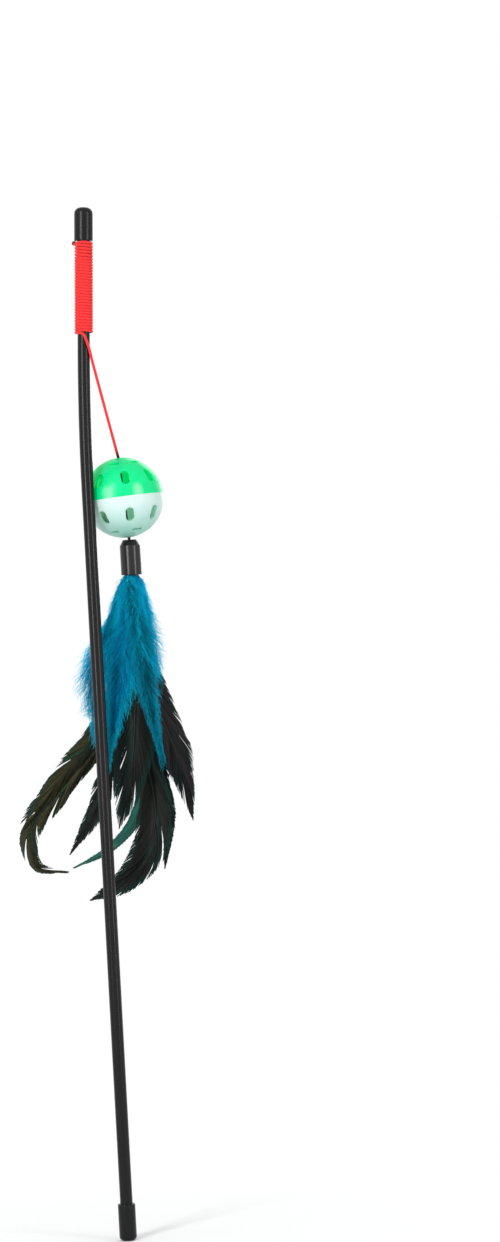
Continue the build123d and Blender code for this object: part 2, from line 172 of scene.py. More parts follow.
# Cord
# A thin woven red cord. It is wound closely round the rod under the tip cap, leaves the winding at the
# front of the rod, and runs taut down to the ball, through it and into the sleeve.
axis_x, axis_y, axis_z = np.eye(3)
rod_radius = 3.1 * mm
bow_start = 368.3 * mm
bow_radius = 1400 * mm
bow_angle = math.radians(3)
tip_along = np.array([math.sin(bow_angle), 0, math.cos(bow_angle)])
tip_aside = np.array([math.cos(bow_angle), 0, -math.sin(bow_angle)])
tip_place = bow_radius * np.array([1 - math.cos(bow_angle), 0, math.sin(bow_angle)]) + bow_start * axis_z
cord_radius = 0.7 * mm
cord_slack = 0.1 * mm
cord_lay = rod_radius + cord_radius + cord_slack
cord_sides = 16
cord_pivot = np.array([5.381, -1.171, 434.52]) * mm
ball_pivot = np.array([15.335, 16.325, 385.638]) * mm
sleeve_pivot = np.array([18.827, 16.325, 341.276]) * mm


def unit(vectors):
    """Vectors along the last axis, each made one long."""
    return vectors / np.linalg.norm(vectors, axis=-1, keepdims=True)


def line_length(line):
    """The length of a line of points."""
    return np.linalg.norm(np.diff(line, axis=0), axis=1).sum()


def ring_quads(rings, sides, closed):
    """The quads between rings of points, as four point numbers each, with the ring and the place on it
    that each one starts from. If closed, the last ring is joined to the first."""
    row, column = np.meshgrid(np.arange(rings if closed else rings - 1), np.arange(sides), indexing="ij")
    below = (row + 1) % rings
    after = (column + 1) % sides
    corners = [row * sides + column, row * sides + after, below * sides + after, below * sides + column]
    return np.stack(corners, -1).reshape(-1, 4), row, column


def tube_piece(name, path, radius, sides, toward, skin):
    """A closed tube: at each point of the path a circle of the given radius, square to the path, that
    starts on the side that toward points to. UV is millimetres along the path, and the share of the way
    round."""
    along = unit(np.gradient(path, axis=0))
    first = unit(toward - (toward * along).sum(-1, keepdims=True) * along)
    second = np.cross(along, first)
    turn = np.linspace(0, 2 * math.pi, sides, endpoint=False)[:, None]
    ring = first[:, None] * np.cos(turn) + second[:, None] * np.sin(turn)
    points = path[:, None] + ring * np.broadcast_to(radius, len(path))[:, None, None]
    quads, row, column = ring_quads(len(path), sides, closed=False)
    run = np.concatenate([[0], np.cumsum(np.linalg.norm(np.diff(path, axis=0), axis=1))]) / mm
    length_mm = np.stack([run[row], run[row], run[row + 1], run[row + 1]], -1)
    round_share = np.stack([column, column + 1, column + 1, column], -1) / sides
    side_uv = np.stack([length_mm, round_share], -1).reshape(-1, 2)
    uv = np.concatenate([side_uv, np.zeros((2 * sides, 2))])
    start = list(range(sides))[::-1]
    end = list(range((len(path) - 1) * sides, len(path) * sides))
    return mesh_piece(name, points.reshape(-1, 3), quads.tolist() + [start, end], skin, uv)


# Woven cord: crossed yarns with painted shade where they dip under each other, and a faint sheen of loose
# fibres; it is darker towards the ball, and painted shade makes the stretch inside the ball dark
cord_yarn_mm = 0.9
cord_yarns = 4
yarn_depth = 0.06 * mm
woven, tree = material("woven red cord")
lay = add(tree, "ShaderNodeUVMap", uv_map="lay").outputs[0]
yarn_waves = []
for hand in (1, -1):
    slant = (2 * math.pi / cord_yarn_mm, hand * 2 * math.pi * cord_yarns, 0)
    crossing = add(tree, "ShaderNodeVectorMath", {0: lay, 1: slant}, operation="DOT_PRODUCT")
    yarn_wave = add(tree, "ShaderNodeMath", {0: crossing.outputs["Value"]}, operation="SINE")
    yarn_waves.append(yarn_wave.outputs[0])
weave = add(tree, "ShaderNodeMath", dict(enumerate(yarn_waves)), operation="MULTIPLY").outputs[0]
# painted shade: the yarns are darker where they dip under the crossing yarns
yarn_shade_share = add(tree, "ShaderNodeMapRange", {"Value": weave, "From Min": -1.0, "From Max": 1.0})
surface_colour = add(
    tree,
    "ShaderNodeMix",
    {0: yarn_shade_share.outputs[0], 6: linear("#D8262A"), 7: linear("#F83C38")},
    data_type="RGBA",
)
# darker near the ball; inside the ball this darkening is painted shade
darkening = add(tree, "ShaderNodeAttribute", attribute_name="darkening")
darkened_colour = add(
    tree,
    "ShaderNodeMix",
    {0: darkening.outputs["Fac"], 6: surface_colour.outputs[2], 7: linear("#2A1113")},
    data_type="RGBA",
)
yarn_relief = add(tree, "ShaderNodeBump", {"Height": weave, "Strength": 0.2, "Distance": yarn_depth})
yarn = add(
    tree,
    "ShaderNodeBsdfPrincipled",
    {
        "Base Color": darkened_colour.outputs[2],
        "Normal": yarn_relief.outputs[0],
        "Roughness": 0.65,
        "Specular IOR Level": 0.15,
        "Sheen Weight": 0.05,
    },
)
add(tree, "ShaderNodeOutputMaterial", {"Surface": yarn.outputs[0]})

# The winding: close turns, the first pressed up against the cap, then the turn down to a steep tail beside
# the rod
wound_top = 49.9 * mm
wound_bottom = 5.732 * mm
wound_turns = 31
wound_sides = 12
steps_per_turn = 36
start_angle = math.radians(-148)
leave_angle = math.radians(-30)
first_turn_rise = 0.75 * mm
press_onset_turns = 0.125
press_end_turns = 5
turn_down_radius = 3 * mm
turn_down_steps = 16
tail_drop = 8.5 * mm
tail_heading = math.radians(68)
tail_steps = 10
stub_length = 2 * mm
wound_heading = math.atan((wound_top - wound_bottom) / wound_turns / (2 * math.pi * cord_lay))
turn_heading = np.linspace(wound_heading, tail_heading, turn_down_steps)[1:]
turn_sweep = turn_down_radius * (np.sin(turn_heading) - math.sin(wound_heading)) / cord_lay
turn_drop = turn_down_radius * (math.cos(wound_heading) - np.cos(turn_heading))
tail_share = np.linspace(0, 1, tail_steps)[1:]
tail_sweep = tail_drop / math.tan(tail_heading) / cord_lay
end_angle = leave_angle - tail_sweep - turn_sweep[-1]
wound_share = np.linspace(0, 1, wound_turns * steps_per_turn + 1)
turned = wound_share * wound_turns
pressed = np.clip(turned / press_onset_turns, 0, 1) * np.clip(1 - turned / press_end_turns, 0, 1)
cord_angle = np.concatenate(
    [
        start_angle + (2 * math.pi * wound_turns + end_angle - start_angle) * wound_share,
        end_angle + turn_sweep,
        end_angle + turn_sweep[-1] + tail_sweep * tail_share,
    ]
)
cord_height = np.concatenate(
    [
        wound_top + (wound_bottom - wound_top) * wound_share + first_turn_rise * pressed,
        wound_bottom - turn_drop,
        wound_bottom - turn_drop[-1] - tail_drop * tail_share,
    ]
)
outward = np.cos(cord_angle)[:, None] * tip_aside + np.sin(cord_angle)[:, None] * axis_y
wound_path = tip_place + cord_lay * outward + cord_height[:, None] * tip_along
stub_direction = unit(wound_path[0] - wound_path[1])
tail_direction = unit(wound_path[-1] - wound_path[-2])
stub_end = wound_path[0] + stub_direction * stub_length
tail_end = wound_path[-1] + tail_direction * 2 * cord_radius
wound_path = np.concatenate([[stub_end], wound_path, [tail_end]])
outward = np.concatenate([outward[:1], outward, outward[-1:]])
winding = tube_piece("wound_cord", wound_path, cord_radius, wound_sides, outward, woven)
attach(winding, "wand")
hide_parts("cord_winding")


def darken(piece, share):
    """Darken a stretch of cord: a share for each ring of its points, from none to fully dark."""
    darkening = piece.data.attributes.new("darkening", "FLOAT", "POINT")
    darkening.data.foreach_set("value", np.repeat(share, cord_sides).astype(np.float32))


# The free stretch: pulled taut by the ball, it bends only where it leaves the rod
darkened_length = 4.5 * mm
darkening_fade = 2.5 * mm
lead_root = tail_direction * 3 * mm
lead_points = [cord_pivot - lead_root, cord_pivot, (cord_pivot + ball_pivot) / 2, ball_pivot]
lead_curve = bpy.data.curves.new("free cord route", "CURVE")
lead_curve.dimensions = "3D"
lead_curve.resolution_u = 24
lead_line = lead_curve.splines.new("NURBS")
lead_line.points.add(len(lead_points) - 1)
lead_line.points.foreach_set("co", np.append(lead_points, np.ones((len(lead_points), 1)), 1).ravel())
lead_line.order_u = 3
lead_line.use_endpoint_u = True
lead_route = bpy.data.objects.new("free cord route", lead_curve)
lead_trace = bpy.data.meshes.new_from_object(lead_route)
lead_path = np.array([point.co for point in lead_trace.vertices])
bpy.data.objects.remove(lead_route)
lead = tube_piece("free_cord", lead_path, cord_radius, cord_sides, axis_y, woven)
from_ball = np.linalg.norm(lead_path - ball_pivot, axis=1)
# darker over the last few millimetres, where the cord goes into the ball
darken(lead, np.clip((darkened_length - from_ball) / darkening_fade, 0, 1))
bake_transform(lead)
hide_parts("cord_lead")

# The stretch inside the ball, down to the sleeve: it is round at its upper end, where it turns on the
# free stretch
inner_steps = 20
inner_line = sleeve_pivot - ball_pivot
dome = np.linspace(math.pi / 2, 0, 6)
dome_path = ball_pivot - unit(inner_line) * cord_radius * np.sin(dome)[:, None]
straight_path = ball_pivot + inner_line * np.linspace(0.05, 1, inner_steps)[:, None]
inner_path = np.concatenate([dome_path, straight_path])
inner_radius = np.concatenate([np.maximum(np.cos(dome), 0.02), np.ones(inner_steps)]) * cord_radius
inner_cord = tube_piece("inner_cord", inner_path, inner_radius, cord_sides, axis_y, woven)
# painted shade: the whole stretch inside the ball is dark
darken(inner_cord, np.ones(len(inner_path)))
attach(inner_cord, "hanger")
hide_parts("cord_through")

# Knots: the cord drawn tight, with painted shade: a near-black copy of the red cord, its strands in two
# dark tones
strand_width = 1.11 * mm
strand_depth = 0.3 * mm
shaded_knot, tree = material("tightened knot of the cord")
place = add(tree, "ShaderNodeTexCoord").outputs["Object"]
strand_noise = {"Vector": place, "Scale": 1 / strand_width, "Detail": 2.0}
strands = add(tree, "ShaderNodeTexNoise", strand_noise).outputs["Fac"]
knot_shade_colour = add(
    tree,
    "ShaderNodeMix",
    {0: strands, 6: linear("#1E0C0E"), 7: linear("#3E1518")},
    data_type="RGBA",
)
knot_relief = add(tree, "ShaderNodeBump", {"Height": strands, "Strength": 0.6, "Distance": strand_depth})
knot_skin = add(
    tree,
    "ShaderNodeBsdfPrincipled",
    {"Base Color": knot_shade_colour.outputs[2], "Normal": knot_relief.outputs[0], "Roughness": 0.65},
)
add(tree, "ShaderNodeOutputMaterial", {"Surface": knot_skin.outputs[0]})

# Melted end: the cut end of the cord, sealed to a dark, lumpy and slightly shiny bead
lump_size = 2 / 3 * mm
lump_depth = 0.2 * mm
melted, tree = material("melted cord end")
place = add(tree, "ShaderNodeTexCoord").outputs["Object"]
lumps = add(tree, "ShaderNodeTexNoise", {"Vector": place, "Scale": 1 / lump_size}).outputs["Fac"]
scorch = add(
    tree,
    "ShaderNodeMix",
    {0: lumps, 6: linear("#1A0D0C"), 7: linear("#5A1A1A")},
    data_type="RGBA",
)
lump_relief = add(tree, "ShaderNodeBump", {"Height": lumps, "Strength": 0.5, "Distance": lump_depth})
bead_skin = add(
    tree,
    "ShaderNodeBsdfPrincipled",
    {"Base Color": scorch.outputs[2], "Normal": lump_relief.outputs[0], "Roughness": 0.35},
)
add(tree, "ShaderNodeOutputMaterial", {"Surface": bead_skin.outputs[0]})


def dress(node, skin):
    """Give a solid of the frame its material."""
    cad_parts[node].data.materials.clear()
    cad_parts[node].data.materials.append(skin)


dress("ball_knot", shaded_knot)
dress("sleeve_knot", shaded_knot)
dress("cord_end", melted)

# Rod
# A thin extruded tube of glossy black plastic, straight from the grip and slightly bowed below the tip,
# where the taut cord pulls on it.
rod_foot = 1.3 * mm
rod_sides = 48
tip_run = 65.3 * mm
bow_turn = np.linspace(0, bow_angle, 25)[:, None]
grip_path = np.linspace(rod_foot, bow_start, 30)[:-1, None] * axis_z
bow_path = bow_radius * ((1 - np.cos(bow_turn)) * axis_x + np.sin(bow_turn) * axis_z) + bow_start * axis_z
tip_path = tip_place + tip_along * np.linspace(0, tip_run, 12)[1:, None]
rod_path = np.concatenate([grip_path, bow_path, tip_path])

# Extruded plastic: a gloss broken by faint draw lines along the tube and by light handling marks
draw_line_width = 0.4 * mm
draw_line_length = 167 * mm
handling_size = 11.1 * mm
extruded, tree = material("extruded black plastic")
place = add(tree, "ShaderNodeTexCoord").outputs["Object"]
draw_scale = (1 / draw_line_width, 1 / draw_line_width, 1 / draw_line_length)
drawn = add(tree, "ShaderNodeMapping", {"Vector": place, "Scale": draw_scale})
draw_lines = add(tree, "ShaderNodeTexNoise", {"Vector": drawn.outputs[0], "Scale": 1.0, "Detail": 3.0})
handling = add(tree, "ShaderNodeTexNoise", {"Vector": place, "Scale": 1 / handling_size, "Detail": 4.0})
rod_tint = add(
    tree,
    "ShaderNodeMix",
    {0: draw_lines.outputs["Fac"], 6: linear("#0A090B"), 7: linear("#141315")},
    data_type="RGBA",
)
rod_gloss = add(
    tree,
    "ShaderNodeMapRange",
    {"Value": handling.outputs["Fac"], "From Min": 0.3, "From Max": 0.7, "To Min": 0.2, "To Max": 0.27},
)
rod_skin = add(
    tree,
    "ShaderNodeBsdfPrincipled",
    {"Base Color": rod_tint.outputs[2], "Roughness": rod_gloss.outputs[0], "Specular IOR Level": 0.22},
)
add(tree, "ShaderNodeOutputMaterial", {"Surface": rod_skin.outputs[0]})
rod = tube_piece("rod_tube", rod_path, rod_radius, rod_sides, axis_y, extruded)
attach(rod, "wand")
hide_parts("rod", "rod_bow", "rod_top")

# End caps
# Dipped soft caps of satin black plastic, pushed over both ends of the rod. The grip cap has a flat end
# with a rounded edge, and the tip cap is a little wider and rounder.
cap_end = 2.5 * mm
cap_mouth_edge = 0.3 * mm
cap_pole = 0.01 * mm
grip_cap_radius = 4.3 * mm
grip_cap_foot = -1.2 * mm
grip_cap_rounding = 2 * mm
grip_cap_length = 18 * mm
tip_cap_radius = 4.7 * mm
tip_cap_rounding = 3 * mm
tip_cap_length = 16.5 * mm
turned_sides = 64


def rounded(corners, steps=8):
    """An outline of radius and height: each corner (radius, height, rounding) becomes an arc of that
    rounding, swept from one leg of the corner to the other by sines of the angle between them."""
    corners = np.array(corners, float)
    outline = [corners[:1, :2]]
    for before, corner, after in zip(corners[:-2], corners[1:-1], corners[2:]):
        point, rounding = corner[:2], corner[2]
        if rounding == 0:
            outline.append(point[None])
            continue
        back, forth = unit(before[:2] - point), unit(after[:2] - point)
        half_angle = math.acos(np.clip(back @ forth, -1, 1)) / 2
        middle = point + unit(back + forth) * rounding / math.sin(half_angle)
        start, end = (point + leg * rounding / math.tan(half_angle) - middle for leg in (back, forth))
        spread = math.pi - 2 * half_angle
        share = np.linspace(0, 1, steps)[:, None]
        arc = (np.sin((1 - share) * spread) * start + np.sin(share * spread) * end) / math.sin(spread)
        outline.append(middle + arc)
    outline.append(corners[-1:, :2])
    return np.concatenate(outline)


def turned_piece(name, outline, place, aside, along, skin):
    """A closed surface of revolution: a closed outline of radius and height round an axis at place."""
    behind = np.cross(along, aside)
    turn = np.linspace(0, 2 * math.pi, turned_sides, endpoint=False)[:, None]
    ring = np.cos(turn) * aside + np.sin(turn) * behind
    points = place + outline[:, 0, None, None] * ring + outline[:, 1, None, None] * along
    quads = ring_quads(len(outline), turned_sides, closed=True)[0]
    return mesh_piece(name, points.reshape(-1, 3), quads.tolist(), skin)


# Dipped plastic: a soft satin skin with the fine orange peel of dipping
peel_size = 1.43 * mm
peel_depth = 0.1 * mm
dipped, tree = material("dipped soft black plastic")
place = add(tree, "ShaderNodeTexCoord").outputs["Object"]
peel_noise = {"Vector": place, "Scale": 1 / peel_size, "Detail": 2.0}
peel = add(tree, "ShaderNodeTexNoise", peel_noise).outputs["Fac"]
dip_tint = add(
    tree,
    "ShaderNodeMix",
    {0: peel, 6: linear("#08080A"), 7: linear("#111113")},
    data_type="RGBA",
)
peel_relief = add(tree, "ShaderNodeBump", {"Height": peel, "Strength": 0.05, "Distance": peel_depth})
dip_skin = add(
    tree,
    "ShaderNodeBsdfPrincipled",
    {
        "Base Color": dip_tint.outputs[2],
        "Roughness": 0.26,
        "Specular IOR Level": 0.22,
        "Normal": peel_relief.outputs[0],
    },
)
add(tree, "ShaderNodeOutputMaterial", {"Surface": dip_skin.outputs[0]})
grip_end = axis_z * grip_cap_foot
tip_end = tip_place + tip_along * (tip_run + cap_end)
for node, end_place, aside, along, cap_radius, length, rounding in (
    ("grip_cap", grip_end, axis_x, axis_z, grip_cap_radius, grip_cap_length, grip_cap_rounding),
    ("tip_cap", tip_end, tip_aside, -tip_along, tip_cap_radius, tip_cap_length, tip_cap_rounding),
):
    cap_outline = rounded(
        [
            (cap_pole, 0, 0),
            (cap_radius, 0, rounding),
            (cap_radius, length, cap_mouth_edge),
            (rod_radius, length, cap_mouth_edge / 2),
            (rod_radius, cap_end, 0),
            (cap_pole, cap_end, 0),
        ]
    )
    cap = turned_piece(node + "_skin", cap_outline, end_place, aside, along, dipped)
    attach(cap, "wand")
    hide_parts(node)

# Rattle ball
# Two moulded half shells, the upper translucent green and the lower milky white, with slots that let the
# bell's sound out. Tongues of the white half stand inside the green half; painted light, pale arches on the
# green wall, stands for them showing through.
ball_centre = np.array([16.905, 16.325, 365.7]) * mm
ball_lean = math.radians(4.5)
ball_radius = 20 * mm
ball_axis = (-math.sin(ball_lean), 0, math.cos(ball_lean))
ball_aside = (math.cos(ball_lean), 0, math.sin(ball_lean))
ball_front = (0, -1, 0)
tongue_count = 8
tongue_longitude = math.radians(-21)
tongue_half_width = 2.8 * mm
tongue_height = 6.2 * mm
arch_outer_blur = 0.6 * mm
arch_inner_blur = 1.6 * mm
arch_strength = 0.45
flow_size = 16.7 * mm


def thin_wall(tree, surface_colour, roughness, glow, clear, clear_tint):
    """Finish a material as a thin moulded wall: a share of the light glows in it, and a share passes it
    straight and takes on the clear tint."""
    face = add(tree, "ShaderNodeBsdfPrincipled", {"Base Color": surface_colour, "Roughness": roughness})
    lit = add(tree, "ShaderNodeBsdfTranslucent", {"Color": surface_colour})
    body = add(tree, "ShaderNodeMixShader", {0: glow, 1: face.outputs[0], 2: lit.outputs[0]})
    straight = add(tree, "ShaderNodeBsdfTransparent", {"Color": linear(clear_tint)})
    wall = add(tree, "ShaderNodeMixShader", {0: clear, 1: body.outputs[0], 2: straight.outputs[0]})
    add(tree, "ShaderNodeOutputMaterial", {"Surface": wall.outputs[0]})


# Green plastic: a thin glowing wall with faint flow marks, with painted light: a pale arch over each white
# tongue that stands behind it
green, tree = material("translucent green moulded plastic")
place = add(tree, "ShaderNodeTexCoord").outputs["Object"]
from_centre = add(tree, "ShaderNodeVectorMath", {0: place, 1: ball_centre}, operation="SUBTRACT").outputs[0]
rightward, frontward, upward = (
    add(tree, "ShaderNodeVectorMath", {0: from_centre, 1: axis}, operation="DOT_PRODUCT").outputs["Value"]
    for axis in (ball_aside, ball_front, ball_axis)
)
longitude = add(tree, "ShaderNodeMath", {0: rightward, 1: frontward}, operation="ARCTAN2").outputs[0]
from_tongue = add(tree, "ShaderNodeMath", {0: longitude, 1: tongue_longitude}, operation="SUBTRACT")
half_step = math.pi / tongue_count
nearest_step = {0: from_tongue.outputs[0], 1: half_step, 2: -half_step}
nearest = add(tree, "ShaderNodeMath", nearest_step, operation="WRAP").outputs[0]
beside = add(tree, "ShaderNodeMath", {0: nearest, 1: ball_radius}, operation="MULTIPLY").outputs[0]
arch_spring = tongue_height - tongue_half_width
over_spring = add(tree, "ShaderNodeMath", {0: upward, 1: arch_spring}, operation="SUBTRACT").outputs[0]
above = add(tree, "ShaderNodeMath", {0: over_spring, 1: 0.0}, operation="MAXIMUM").outputs[0]
in_arch = add(tree, "ShaderNodeCombineXYZ", {0: beside, 1: above}).outputs[0]
from_arch = add(tree, "ShaderNodeVectorMath", {0: in_arch}, operation="LENGTH").outputs["Value"]
# painted light: the green wall turns pale in an arch over each tongue of the white half behind it
painted_arches = add(
    tree,
    "ShaderNodeMapRange",
    {
        "Value": from_arch,
        "From Min": tongue_half_width + arch_outer_blur,
        "From Max": tongue_half_width - arch_inner_blur,
        "To Max": arch_strength,
    },
)
flow = add(tree, "ShaderNodeTexNoise", {"Vector": place, "Scale": 1 / flow_size, "Detail": 3.0})
green_tint = add(
    tree,
    "ShaderNodeMix",
    {0: flow.outputs["Fac"], 6: linear("#00F0AC"), 7: linear("#06FABC")},
    data_type="RGBA",
)
green_and_arch_colour = add(
    tree,
    "ShaderNodeMix",
    {0: painted_arches.outputs[0], 6: green_tint.outputs[2], 7: linear("#D8FCF4")},
    data_type="RGBA",
)
thin_wall(tree, green_and_arch_colour.outputs[2], roughness=0.24, glow=0.3, clear=0.34, clear_tint="#20FFB0")
dress("ball_upper", green)

# Milky plastic: almost white at the seam, with painted shade, tinted green by the green half's light, that
# dulls it towards the pole; the wall is thin enough to let a little light and the bell's shade through
painted_shade_start = -4 * mm
painted_shade_end = -18 * mm
milky, tree = material("milky white moulded plastic")
place = add(tree, "ShaderNodeTexCoord").outputs["Object"]
flow = add(tree, "ShaderNodeTexNoise", {"Vector": place, "Scale": 1 / flow_size, "Detail": 3.0})
milky_tint = add(
    tree,
    "ShaderNodeMix",
    {0: flow.outputs["Fac"], 6: linear("#DEEEED"), 7: linear("#EAF6F6")},
    data_type="RGBA",
)
from_centre = add(tree, "ShaderNodeVectorMath", {0: place, 1: ball_centre}, operation="SUBTRACT").outputs[0]
height = add(tree, "ShaderNodeVectorMath", {0: from_centre, 1: ball_axis}, operation="DOT_PRODUCT")
painted_shade_share = add(
    tree,
    "ShaderNodeMapRange",
    {"Value": height.outputs["Value"], "From Min": painted_shade_start, "From Max": painted_shade_end},
)
# painted shade: the milky colour turns duller and greener towards the pole
milky_and_shade_colour = add(
    tree,
    "ShaderNodeMix",
    {0: painted_shade_share.outputs[0], 6: milky_tint.outputs[2], 7: linear("#A8DCD0")},
    data_type="RGBA",
)
thin_wall(tree, milky_and_shade_colour.outputs[2], roughness=0.28, glow=0.28, clear=0.08, clear_tint="#F0FFFA")
dress("ball_lower", milky)

# Bell
# A small jingle bell of plated sheet steel, pressed in two halves and folded together at the rim, with a
# loose steel pellet inside. The plating is bright, with duller patches of tarnish.
tarnish_size = 4 * mm
plated, tree = material("plated sheet steel")
place = add(tree, "ShaderNodeTexCoord").outputs["Object"]
tarnish = add(tree, "ShaderNodeTexNoise", {"Vector": place, "Scale": 1 / tarnish_size, "Detail": 3.0})
plate_gloss = add(
    tree,
    "ShaderNodeMapRange",
    {"Value": tarnish.outputs["Fac"], "From Min": 0.3, "From Max": 0.7, "To Min": 0.25, "To Max": 0.45},
)
plate_skin = add(
    tree,
    "ShaderNodeBsdfPrincipled",
    {"Base Color": linear("#DEDAD0"), "Metallic": 1.0, "Roughness": plate_gloss.outputs[0]},
)
add(tree, "ShaderNodeOutputMaterial", {"Surface": plate_skin.outputs[0]})
dress("bell_upper", plated)
dress("bell_lower", plated)
dress("bell_pellet", plated)

# Sleeve
# A short moulded sleeve of satin black plastic that hangs on the knot in its roof. The quills are glued
# into it from below with hot-melt glue.
sleeve_radius = 5.2 * mm
sleeve_bore = 4.2 * mm
sleeve_hole = 2.4 * mm
sleeve_top_radius = 3.5 * mm
sleeve_shoulder = 3 * mm
sleeve_roof = 1.2 * mm
sleeve_length = 17.5 * mm
sleeve_edge = 0.25 * mm
sleeve_top_edge = 0.4 * mm
sleeve_shoulder_edge = 0.8 * mm
sleeve_roof_edge = 0.3 * mm
knot_depth = 3.3 * mm
sleeve_top = sleeve_pivot + axis_z * knot_depth
sleeve_mouth = sleeve_top - axis_z * sleeve_length
sleeve_outline = rounded(
    [
        (sleeve_hole, -sleeve_roof, 0),
        (sleeve_hole, 0, sleeve_edge),
        (sleeve_top_radius, 0, sleeve_top_edge),
        (sleeve_radius, -sleeve_shoulder, sleeve_shoulder_edge),
        (sleeve_radius, -sleeve_length, sleeve_edge),
        (sleeve_bore, -sleeve_length, sleeve_edge),
        (sleeve_bore, -sleeve_shoulder, sleeve_top_edge),
        (sleeve_top_radius, -sleeve_roof, sleeve_roof_edge),
        (sleeve_hole + 0.1 * mm, -sleeve_roof, 0),
    ]
)

# Moulded plastic: satin black with the grain of a spark-eroded mould, which is drawn coarser than it is, so
# that it shows
grain_size = 0.556 * mm
grain_depth = 0.05 * mm
moulded, tree = material("moulded satin black plastic")
place = add(tree, "ShaderNodeTexCoord").outputs["Object"]
grain_noise = {"Vector": place, "Scale": 1 / grain_size, "Detail": 2.0}
grain = add(tree, "ShaderNodeTexNoise", grain_noise).outputs["Fac"]
mould_tint = add(
    tree,
    "ShaderNodeMix",
    {0: grain, 6: linear("#0D0B0B"), 7: linear("#171413")},
    data_type="RGBA",
)
grain_relief = add(tree, "ShaderNodeBump", {"Height": grain, "Strength": 0.04, "Distance": grain_depth})
mould_skin = add(
    tree,
    "ShaderNodeBsdfPrincipled",
    {
        "Base Color": mould_tint.outputs[2],
        "Roughness": 0.24,
        "Specular IOR Level": 0.4,
        "Normal": grain_relief.outputs[0],
    },
)
add(tree, "ShaderNodeOutputMaterial", {"Surface": mould_skin.outputs[0]})
sleeve = turned_piece("sleeve_skin", sleeve_outline, sleeve_top, axis_x, axis_z, moulded)
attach(sleeve, "tassel")
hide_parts("feather_sleeve")

# Hot-melt glue: cloudy and slightly yellow, with light scattered inside it
cloud_size = 10 / 3 * mm
scatter_depth = 2 * mm
glue, tree = material("cloudy hot-melt glue")
place = add(tree, "ShaderNodeTexCoord").outputs["Object"]
cloud = add(tree, "ShaderNodeTexNoise", {"Vector": place, "Scale": 1 / cloud_size, "Detail": 3.0})
glue_tint = add(
    tree,
    "ShaderNodeMix",
    {0: cloud.outputs["Fac"], 6: linear("#C9BFA0"), 7: linear("#EDE7D2")},
    data_type="RGBA",
)
glue_skin = add(
    tree,
    "ShaderNodeBsdfPrincipled",
    {
        "Base Color": glue_tint.outputs[2],
        "Roughness": 0.3,
        "Subsurface Weight": 0.5,
        "Subsurface Scale": scatter_depth,
    },
)
add(tree, "ShaderNodeOutputMaterial", {"Surface": glue_skin.outputs[0]})
dress("glue_plug", glue)

# Feathers
# Dyed rooster feathers of two kinds, layered from front to back, with their quills in the glue: blue plumes
# with loose downy barbs, and long dark feathers whose barbs cling together in a glossy vane that splits in
# places.
quill_row_step = 0.45 * mm
quill_column_step = 1.9 * mm
quill_columns = 3
quill_depth = 9 * mm
shaft_width = 0.7 * mm
shaft_points = 300
stem_sides = 6
front_lean = math.radians(-5)
lean_step = math.radians(1.5)


def fibre_material(name, shade, light, streak, edge, edge_from, roughness, through):
    """Feather barbs: each barb has its own tone between shade and light, some clumps of barbs take the
    colour of the streak, and all turn to the edge colour towards their tips. A share of the light passes
    through the barbs."""
    made, tree = material(name)
    tone, clump, reach = (
        add(tree, "ShaderNodeAttribute", attribute_name=label).outputs["Fac"]
        for label in ("tone", "clump", "reach")
    )
    streak_share = add(tree, "ShaderNodeMapRange", {"Value": clump, "From Min": 0.5, "From Max": 0.9})
    rim_share = add(tree, "ShaderNodeMapRange", {"Value": reach, "From Min": edge_from, "From Max": 1.0})
    surface_colour = linear(shade)
    for share, code in ((tone, light), (streak_share.outputs[0], streak), (rim_share.outputs[0], edge)):
        surface_colour = add(tree, "ShaderNodeMix", {0: share, 6: surface_colour, 7: linear(code)}, data_type="RGBA").outputs[2]
    skin = add(
        tree,
        "ShaderNodeBsdfPrincipled",
        {"Base Color": surface_colour, "Roughness": roughness, "Specular IOR Level": 0.15},
    )
    glow = add(tree, "ShaderNodeBsdfTranslucent", {"Color": surface_colour})
    barb = add(tree, "ShaderNodeMixShader", {0: through, 1: skin.outputs[0], 2: glow.outputs[0]})
    add(tree, "ShaderNodeOutputMaterial", {"Surface": barb.outputs[0]})
    return made


# Down scatters light and looks soft and bright; the dark vanes are smooth and keep a sheen along the barbs
blue_down = fibre_material("dyed blue down", "#007AA6", "#00E8FF", "#00B4E6", "#10EEFF", 0.65, 0.8, 0.55)
teal_down = fibre_material("dyed teal down", "#005A70", "#04E4FF", "#0484A0", "#0AC8E4", 0.65, 0.8, 0.55)
black_vane = fibre_material(
    "black feather vane", "#0E0C0E", "#201C1E", "#10221F", "#12302D", 0.75, 0.45, 0.12
)
green_vane = fibre_material(
    "green-black feather vane", "#0B0E0C", "#1A1F1B", "#0F2824", "#133A34", 0.7, 0.45, 0.12
)
olive_vane = fibre_material(
    "olive feather vane", "#1D1C10", "#3C3A20", "#223826", "#27463A", 0.7, 0.45, 0.15
)
teal_vane = fibre_material(
    "teal feather vane", "#1A4A42", "#2F7466", "#3A8A78", "#2A6A5C", 0.6, 0.45, 0.25
)


def quill_material(name, shade, light, roughness):
    """Horn of a quill: fine fibres of two tones."""
    made, tree = material(name)
    place = add(tree, "ShaderNodeTexCoord").outputs["Object"]
    fibre_noise = {"Vector": place, "Scale": 1 / horn_fibre_size, "Detail": 2.0}
    fibres = add(tree, "ShaderNodeTexNoise", fibre_noise).outputs["Fac"]
    tint = add(tree, "ShaderNodeMix", {0: fibres, 6: linear(shade), 7: linear(light)}, data_type="RGBA")
    skin = add(tree, "ShaderNodeBsdfPrincipled", {"Base Color": tint.outputs[2], "Roughness": roughness})
    add(tree, "ShaderNodeOutputMaterial", {"Surface": skin.outputs[0]})
    return made


# Quills are hard, smooth horn: dark in the long feathers, and dyed along with the down in the plumes
horn_fibre_size = 5 / 3 * mm
horn = quill_material("dark quill horn", "#17120E", "#3A3027", 0.4)
blue_quill = quill_material("dyed blue quill", "#00648C", "#0084AE", 0.5)

